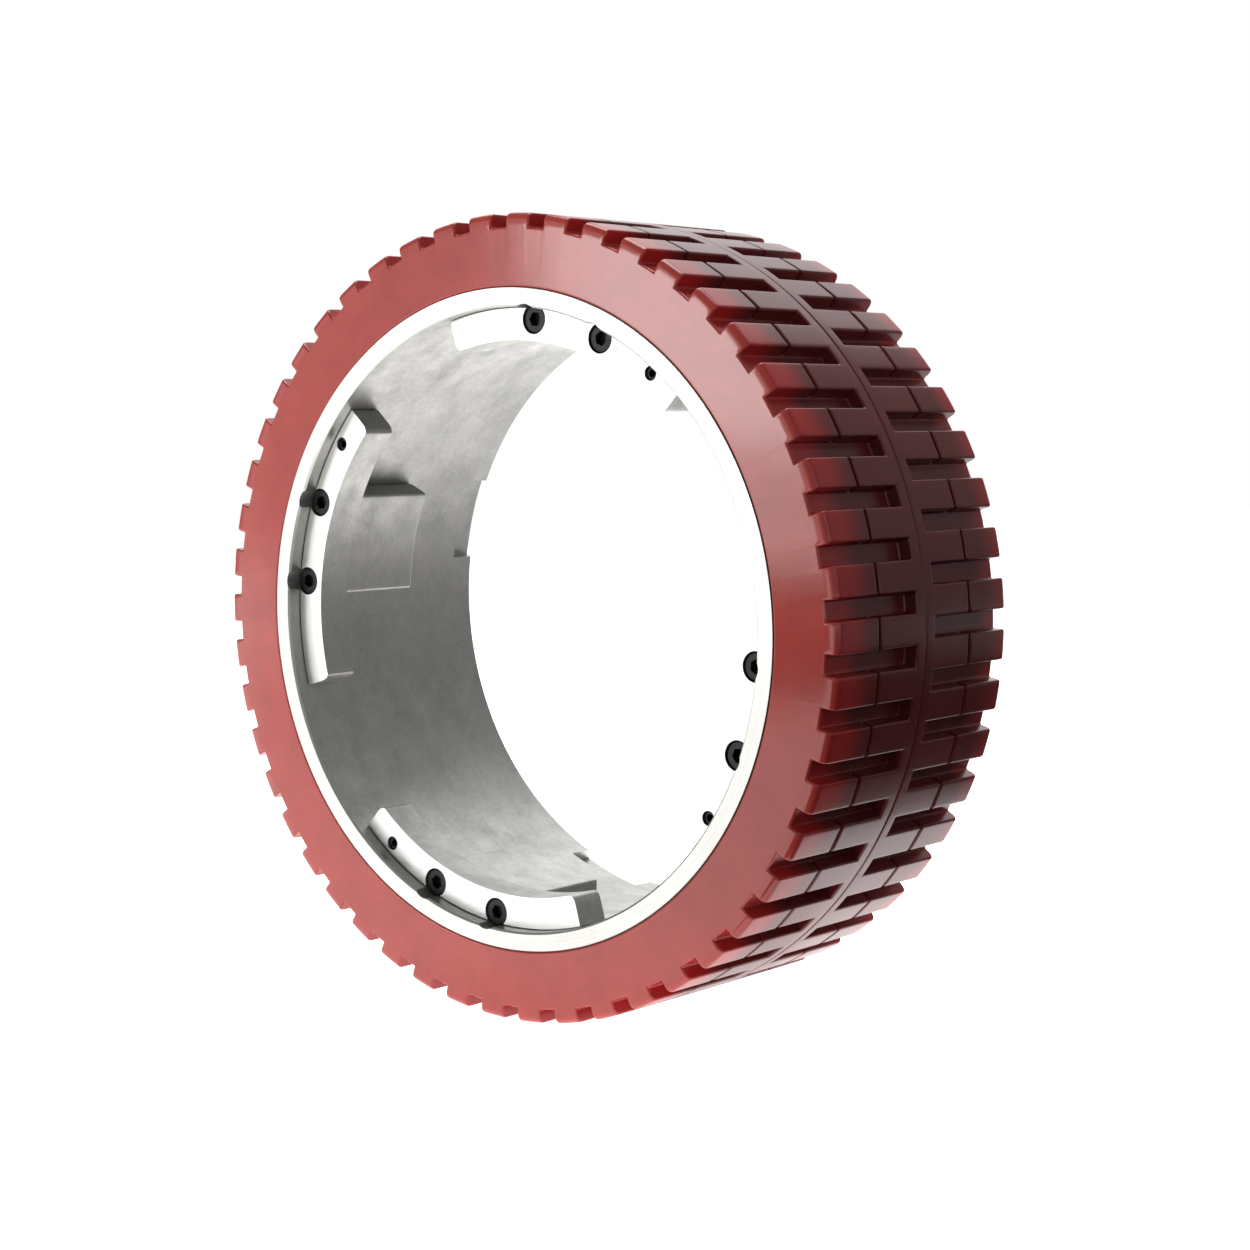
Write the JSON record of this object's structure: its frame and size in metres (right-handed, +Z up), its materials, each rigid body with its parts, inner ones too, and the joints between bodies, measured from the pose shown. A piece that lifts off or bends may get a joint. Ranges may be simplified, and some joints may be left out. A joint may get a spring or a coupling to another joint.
{
  "type": "serrated contact drum",
  "caption": "Wide ring-shaped sanding drum: serrated red rubber tread in two staggered rows on an open aluminium ring with recessed bayonet claws.",
  "frame": {"origin": "the drum's centre, on its axis and halfway across its width", "axes": "+Y along the drum's axis from the front with the claws to the rear, +Z up, +X to the right as the front is looked at"},
  "size_m": [0.25, 0.09, 0.25],
  "materials": {
    "tread_rubber": "moulded red rubber, satin, ground lands",
    "ring_aluminium": "turned, satin",
    "claw_aluminium": "milled, bright",
    "black_steel": "black oxide on steel",
    "spring_steel": "dark spring steel"
  },
  "bodies": {
    "root": {"tread_band_front": "tread_rubber", "tread_band_rear": "tread_rubber", "drum_ring": "ring_aluminium", "claw_top": "claw_aluminium", "stop_block_top": "ring_aluminium", "spring_pin_top": "spring_steel", "claw_screw_top_a": "black_steel", "block_screw_top_a": "black_steel", "claw_screw_top_b": "black_steel", "block_screw_top_b": "black_steel", "claw_left": "claw_aluminium", "stop_block_left": "ring_aluminium", "spring_pin_left": "spring_steel", "claw_screw_left_a": "black_steel", "block_screw_left_a": "black_steel", "claw_screw_left_b": "black_steel", "block_screw_left_b": "black_steel", "claw_bottom": "claw_aluminium", "stop_block_bottom": "ring_aluminium", "spring_pin_bottom": "spring_steel", "claw_screw_bottom_a": "black_steel", "block_screw_bottom_a": "black_steel", "claw_screw_bottom_b": "black_steel", "block_screw_bottom_b": "black_steel", "claw_right": "claw_aluminium", "stop_block_right": "ring_aluminium", "spring_pin_right": "spring_steel", "claw_screw_right_a": "black_steel", "block_screw_right_a": "black_steel", "claw_screw_right_b": "black_steel", "block_screw_right_b": "black_steel"}
  },
  "joints": []
}
